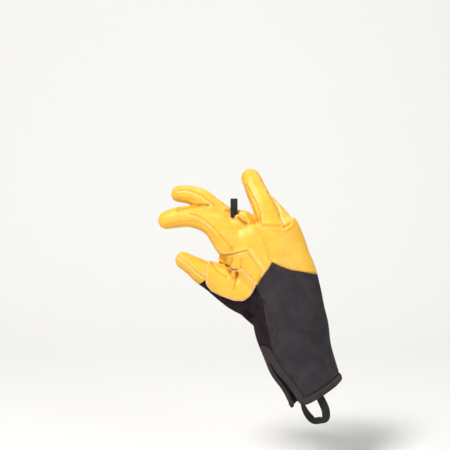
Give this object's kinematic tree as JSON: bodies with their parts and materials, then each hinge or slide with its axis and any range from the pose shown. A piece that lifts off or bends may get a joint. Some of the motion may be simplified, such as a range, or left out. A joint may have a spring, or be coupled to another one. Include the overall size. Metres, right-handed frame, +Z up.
{
  "type": "leather gauntlet climbing glove",
  "caption": "Right-hand leather glove with curled hollow fingers, a reinforced thumb, a slit cloth gauntlet with bound hem, a pull loop and a small hang loop.",
  "frame": {"origin": "middle of the hang loop's hole, where the connector that holds the glove passes through", "axes": "+Z up as the glove hangs, -Y out of the back of the hand towards the camera, -X towards the fingertips and the thumb"},
  "size_m": [0.2362, 0.0874, 0.3266],
  "materials": {
    "yellow_leather": "matt grain leather, raw at the cut edges",
    "charcoal_cloth": "woven charcoal cloth",
    "dark_softshell": "fine dark stretch knit",
    "grey_tape": "ribbed binding tape",
    "black_webbing": "woven black webbing"
  },
  "bodies": {
    "root": {"back_leather": "yellow_leather", "palm_leather": "yellow_leather", "index_middle_fourchette": "yellow_leather", "middle_ring_fourchette": "yellow_leather", "ring_little_fourchette": "yellow_leather", "thumb_upper": "yellow_leather", "thumb_lower": "yellow_leather", "thumb_patch": "yellow_leather", "cuff_back": "charcoal_cloth", "cuff_palm": "charcoal_cloth", "cuff_gusset": "dark_softshell", "hem_binding": "grey_tape", "pull_loop": "black_webbing", "hang_loop": "black_webbing"}
  },
  "joints": []
}
